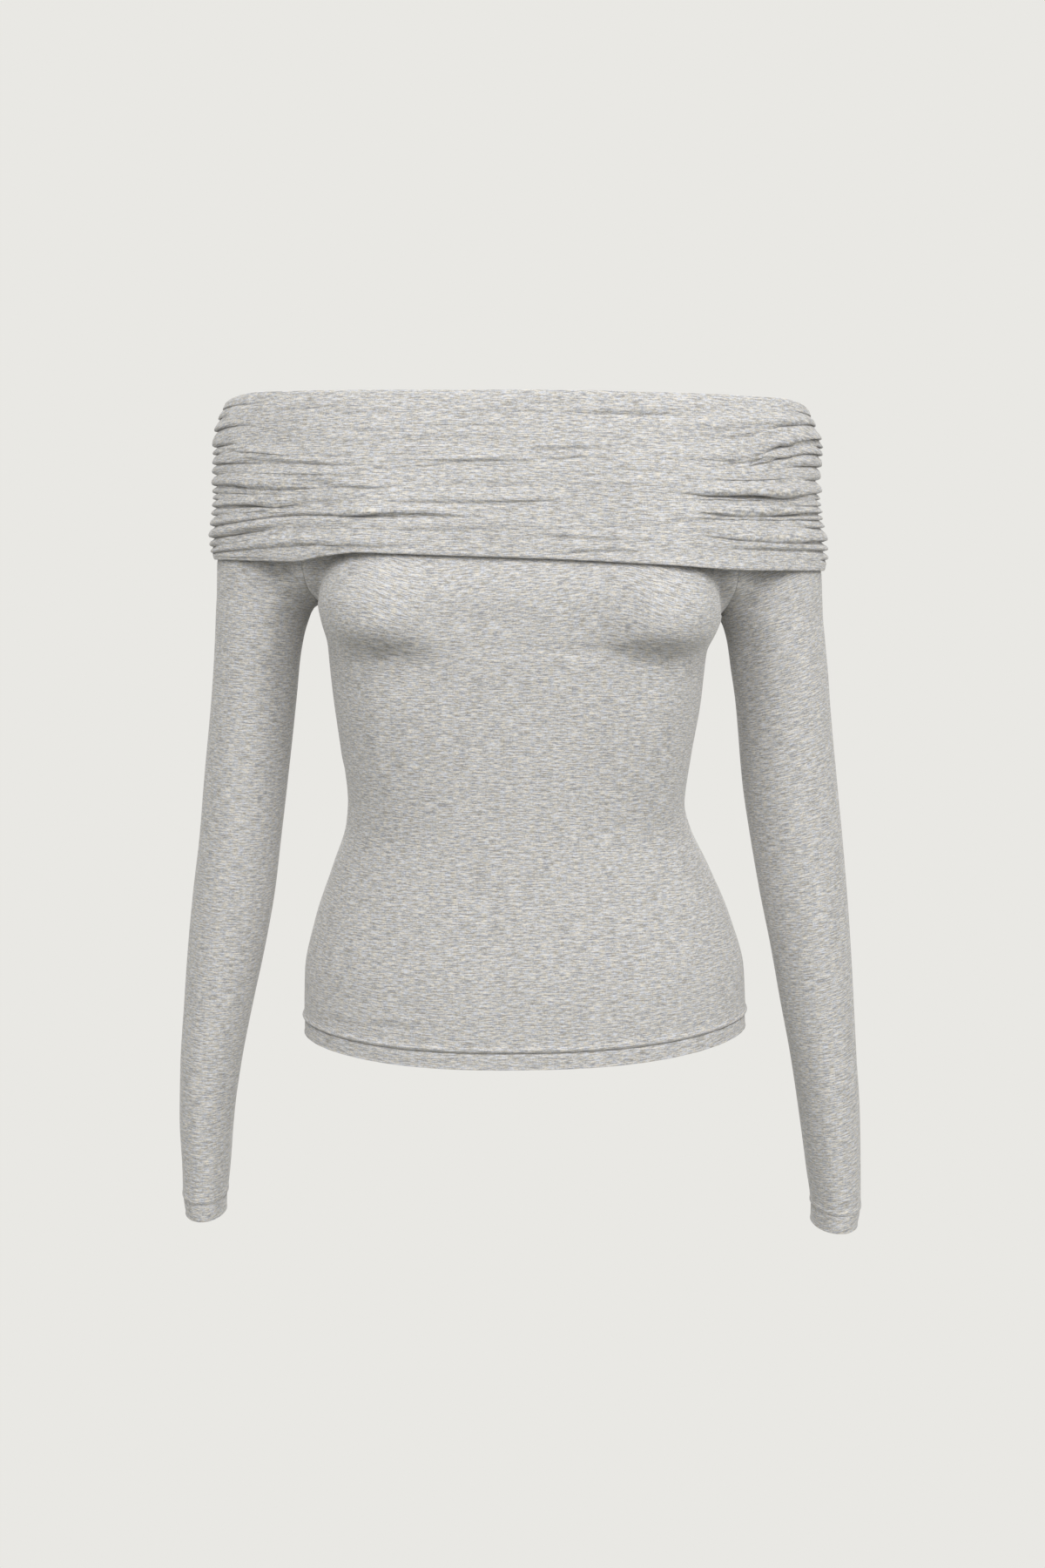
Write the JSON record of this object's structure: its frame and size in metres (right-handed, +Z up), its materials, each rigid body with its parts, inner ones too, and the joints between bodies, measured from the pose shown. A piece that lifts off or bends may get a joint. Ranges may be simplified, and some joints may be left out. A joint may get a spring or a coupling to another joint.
{
  "type": "off-shoulder top",
  "caption": "Fitted jersey top with long sleeves and a wide double band turned down over the bust, ruched at its side seams, filled out as when worn",
  "frame": {"origin": "middle of the neckline seam, between the upper arms, where the wearer holds the top up", "axes": "+Z up, front faces -Y, +X towards the wearer's left"},
  "size_m": [0.4918, 0.2239, 0.5921],
  "materials": {
    "jersey": "heather grey single jersey, soft and matt"
  },
  "bodies": {
    "root": {"front_panel": "jersey", "back_panel": "jersey", "left_sleeve": "jersey", "right_sleeve": "jersey", "band_front": "jersey", "band_back": "jersey"}
  },
  "joints": []
}
